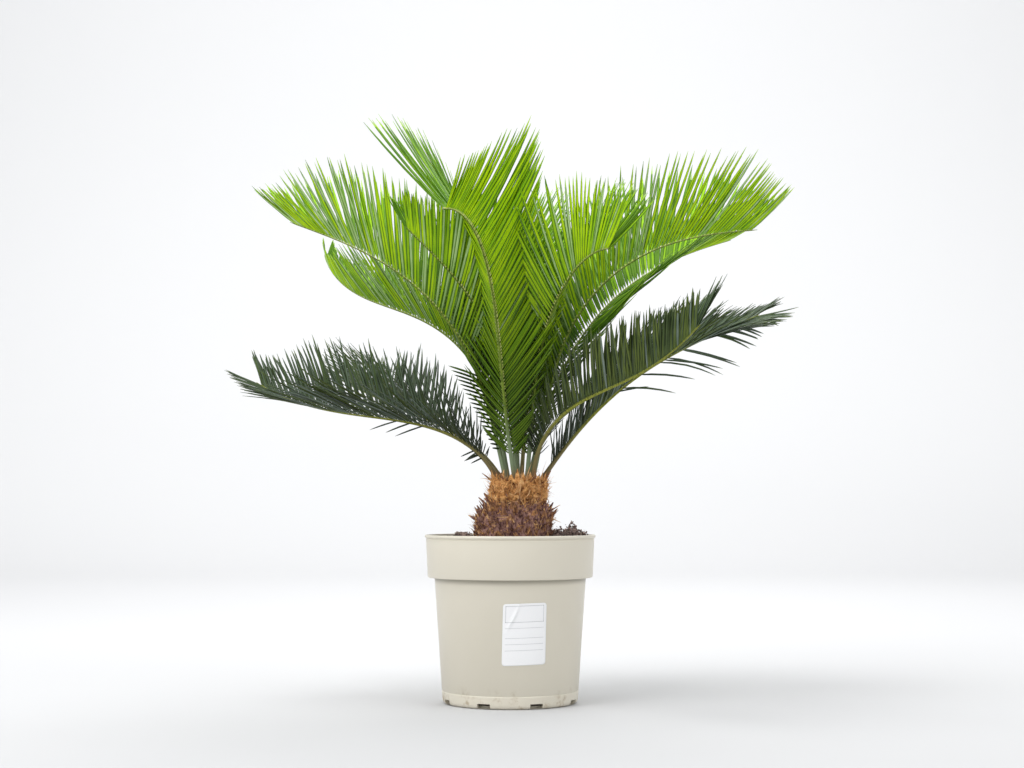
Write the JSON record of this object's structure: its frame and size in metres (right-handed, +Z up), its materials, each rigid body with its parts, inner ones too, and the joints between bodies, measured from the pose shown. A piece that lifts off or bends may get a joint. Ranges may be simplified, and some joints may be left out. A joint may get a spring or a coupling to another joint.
{
  "type": "potted sago palm",
  "caption": "Young sago palm with arching feather-like fronds on a short shaggy trunk with a woolly top, in soil in a plain pale nursery pot with a bare sticker.",
  "frame": {"origin": "centre of the pot's flat underside, on the surface that the pot stands on", "axes": "+Z up along the pot's axis; +X to the plant's right and +Y to its back, as seen from the side that carries the sticker"},
  "size_m": [0.6273, 0.5556, 0.6326],
  "materials": {
    "pot_plastic": "satin",
    "label_paper": "satin",
    "potting_soil": "matte",
    "leaf_base_bark": "matte",
    "crown_wool": "matte",
    "young_frond": "satin",
    "old_frond": "satin"
  },
  "bodies": {
    "root": {"pot": "pot_plastic", "label": "label_paper", "soil": "potting_soil", "trunk": "leaf_base_bark", "crown_bud": "crown_wool", "frond_front": "young_frond", "frond_front_right": "young_frond", "frond_left": "young_frond", "frond_right": "young_frond", "frond_back_left": "young_frond", "frond_back_right": "young_frond", "frond_front_left": "young_frond", "frond_back": "young_frond", "old_frond_left": "old_frond", "old_frond_front_right": "old_frond", "old_frond_right": "old_frond", "old_frond_back_left": "old_frond", "old_frond_back": "old_frond"}
  },
  "joints": []
}
